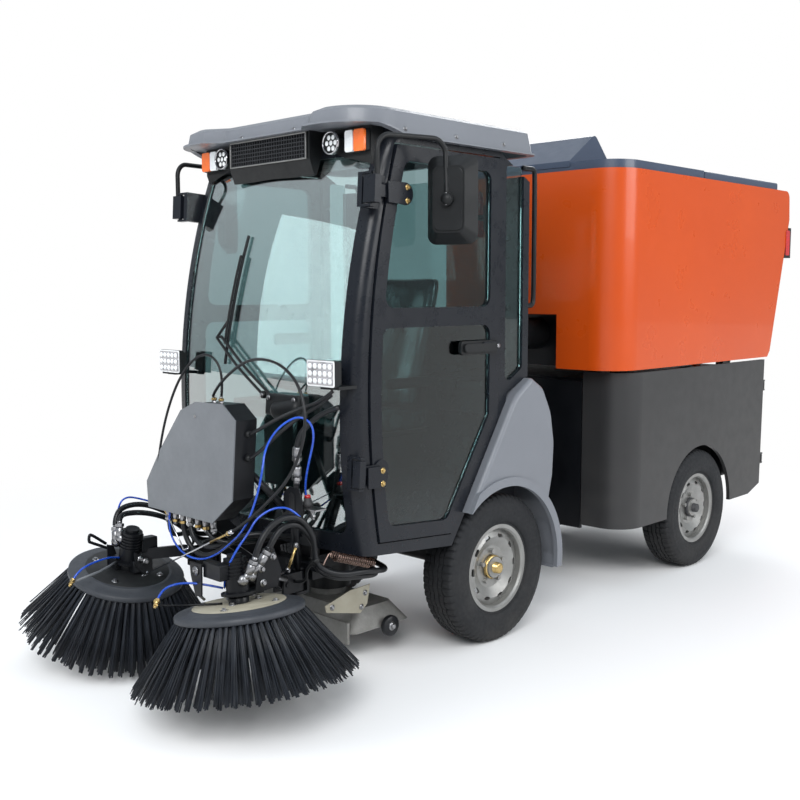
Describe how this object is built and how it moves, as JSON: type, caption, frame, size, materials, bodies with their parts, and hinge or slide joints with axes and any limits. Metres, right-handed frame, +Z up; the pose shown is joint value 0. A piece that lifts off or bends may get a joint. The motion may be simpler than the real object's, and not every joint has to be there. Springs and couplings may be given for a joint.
{
  "type": "articulated street sweeper",
  "caption": "Compact articulated street sweeper: glazed cab with front brooms and suction nozzle, hinged to a rear unit with a tipping hopper.",
  "frame": {"origin": "middle of the overall box at ground level, on the middle plane", "axes": "+X forward along the vehicle, +Y to its left, +Z up"},
  "size_m": [4.4334, 1.7166, 2.3083],
  "materials": {
    "orange_paint": "gloss",
    "grey_paint": "satin",
    "black_paint": "satin",
    "roof_plastic": "grained",
    "black_plastic": "grained",
    "lid_paint": "satin",
    "valve_paint": "satin",
    "glass": "tinted",
    "tyre": "matte",
    "rim_steel": "silver",
    "steel": "brushed",
    "fabric": "woven",
    "bristles": "wire and plastic bristles",
    "lamp": "clear",
    "cast": "rough"
  },
  "bodies": {
    "rear_unit": {"rear_frame": "black_paint", "bulkhead": "black_paint", "suction_riser": "black_plastic", "engine": "cast", "rear_panel_left": "grey_paint", "rear_panel_right": "grey_paint", "deck": "black_paint", "rear_axle": "black_paint"},
    "front_unit": {"front_frame": "black_paint", "front_axle": "black_paint", "suction_duct": "black_plastic", "cab_shell": "black_paint", "windscreen": "glass", "cab_glass": "glass", "roof_cap": "roof_plastic", "roof_console": "black_plastic", "roof_grille": "black_plastic", "front_lamps": "lamp", "fender_left": "roof_plastic", "fender_right": "roof_plastic", "valve_box": "black_paint", "valve_plate": "valve_paint", "seat": "fabric", "dash": "black_plastic"},
    "steering_wheel": {"steering_wheel": "black_plastic"},
    "nozzle": {"nozzle": "steel"},
    "hopper": {"hopper": "orange_paint", "inlet_plate": "orange_paint", "hopper_lid": "lid_paint", "rear_lamps": "black_plastic"},
    "hopper_hatch": {"hopper_hatch": "lid_paint"},
    "tailgate": {"tailgate": "orange_paint"},
    "engine_door": {"engine_door": "grey_paint"},
    "tip_barrels": {"tip_barrels": "black_paint"},
    "tip_rods": {"tip_rods": "steel"},
    "steer_rod": {"steer_rod": "steel"},
    "wheel_front_left": {"tyre_front_left": "tyre", "rim_front_left": "rim_steel"},
    "wheel_rear_left": {"tyre_rear_left": "tyre", "rim_rear_left": "rim_steel"},
    "door_left": {"door_left": "black_paint", "door_glass_left": "glass", "mirror_left": "black_plastic"},
    "broom_carrier_left": {"broom_carrier_left": "black_paint"},
    "broom_arm_left": {"broom_arm_left": "black_paint"},
    "broom_left": {"broom_left": "bristles"},
    "wheel_front_right": {"tyre_front_right": "tyre", "rim_front_right": "rim_steel"},
    "wheel_rear_right": {"tyre_rear_right": "tyre", "rim_rear_right": "rim_steel"},
    "door_right": {"door_right": "black_paint", "door_glass_right": "glass", "mirror_right": "black_plastic"},
    "broom_carrier_right": {"broom_carrier_right": "black_paint"},
    "broom_arm_right": {"broom_arm_right": "black_paint"},
    "broom_right": {"broom_right": "bristles"}
  },
  "joints": [
    {"name": "articulation", "type": "hinge", "parent": "rear_unit", "child": "front_unit", "pos_m": [-0.259, 0, 0.48], "axis": [0, 0, 1], "range_deg": [-40, 40]},
    {"name": "wheel_front_left_spin", "type": "hinge", "parent": "front_unit", "child": "wheel_front_left", "pos_m": [0.541, 0.5045, 0.325], "axis": [0, 1, 0], "continuous": true},
    {"name": "wheel_rear_left_spin", "type": "hinge", "parent": "rear_unit", "child": "wheel_rear_left", "pos_m": [-1.199, 0.5045, 0.325], "axis": [0, 1, 0], "continuous": true},
    {"name": "door_left_hinge", "type": "hinge", "parent": "front_unit", "child": "door_left", "pos_m": [1.36, 0.607, 1.372], "axis": [0.0593, 0, -0.9982], "range_deg": [0, 75]},
    {"name": "broom_swing_left", "type": "hinge", "parent": "front_unit", "child": "broom_carrier_left", "pos_m": [1.441, 0.29, 0.401], "axis": [0, 0, 1], "range_deg": [0, 28]},
    {"name": "broom_lift_left", "type": "hinge", "parent": "broom_carrier_left", "child": "broom_arm_left", "pos_m": [1.507, 0.29, 0.398], "axis": [0, -1, 0], "range_deg": [0, 12]},
    {"name": "broom_spin_left", "type": "hinge", "parent": "broom_arm_left", "child": "broom_left", "pos_m": [1.783, 0.382, 0.4], "axis": [-0.0122, -0.1564, 0.9876], "continuous": true},
    {"name": "wheel_front_right_spin", "type": "hinge", "parent": "front_unit", "child": "wheel_front_right", "pos_m": [0.541, -0.5045, 0.325], "axis": [0, 1, 0], "continuous": true},
    {"name": "wheel_rear_right_spin", "type": "hinge", "parent": "rear_unit", "child": "wheel_rear_right", "pos_m": [-1.199, -0.5045, 0.325], "axis": [0, 1, 0], "continuous": true},
    {"name": "door_right_hinge", "type": "hinge", "parent": "front_unit", "child": "door_right", "pos_m": [1.36, -0.607, 1.372], "axis": [-0.0593, 0, 0.9982], "range_deg": [0, 75]},
    {"name": "broom_swing_right", "type": "hinge", "parent": "front_unit", "child": "broom_carrier_right", "pos_m": [1.441, -0.29, 0.401], "axis": [0, 0, -1], "range_deg": [0, 28]},
    {"name": "broom_lift_right", "type": "hinge", "parent": "broom_carrier_right", "child": "broom_arm_right", "pos_m": [1.507, -0.29, 0.398], "axis": [0, -1, 0], "range_deg": [0, 12]},
    {"name": "broom_spin_right", "type": "hinge", "parent": "broom_arm_right", "child": "broom_right", "pos_m": [1.761, -0.415, 0.377], "axis": [-0.0122, 0.2588, 0.9659], "continuous": true},
    {"name": "steering_wheel_turn", "type": "hinge", "parent": "front_unit", "child": "steering_wheel", "pos_m": [1.09593, 0, 1.10935], "axis": [-0.2536, 0, 0.9673], "continuous": true},
    {"name": "nozzle_lower", "type": "slide", "parent": "front_unit", "child": "nozzle", "axis": [0, 0, -1], "range_m": [0, 0.075]},
    {"name": "hopper_tip", "type": "hinge", "parent": "rear_unit", "child": "hopper", "pos_m": [-1.929, 0, 1.1], "axis": [0, -1, 0], "range_deg": [0, 45]},
    {"name": "hatch_hinge", "type": "hinge", "parent": "hopper", "child": "hopper_hatch", "pos_m": [-1.169, 0, 2.1783], "axis": [0, 1, 0], "range_deg": [0, 80]},
    {"name": "tailgate_hinge", "type": "hinge", "parent": "hopper", "child": "tailgate", "pos_m": [-2.159, 0, 2.066], "axis": [0, 1, 0], "range_deg": [0, 80]},
    {"name": "engine_door_hinge", "type": "hinge", "parent": "rear_unit", "child": "engine_door", "pos_m": [-1.956, 0.592, 0.74], "axis": [0, 0, -1], "range_deg": [0, 100]},
    {"name": "tip_barrel_swing", "type": "hinge", "parent": "rear_unit", "child": "tip_barrels", "pos_m": [-1.139, 0, 0.5], "axis": [0, -1, 0], "range_deg": [-12, 12]},
    {"name": "tip_rod_slide", "type": "slide", "parent": "tip_barrels", "child": "tip_rods", "axis": [-0.613, 0, 0.7901], "range_m": [-0.005, 0.26]},
    {"name": "steer_rod_slide", "type": "slide", "parent": "front_unit", "child": "steer_rod", "axis": [1, 0, 0], "range_m": [-0.1, 0.1]}
  ],
  "couplings": [
    {"joint": "tip_barrel_swing", "follows": "hopper_tip", "ratio": -0.1383},
    {"joint": "tip_rod_slide", "follows": "hopper_tip", "m_per_rad": 0.3189},
    {"joint": "steer_rod_slide", "follows": "articulation", "m_per_rad": -0.1289}
  ]
}
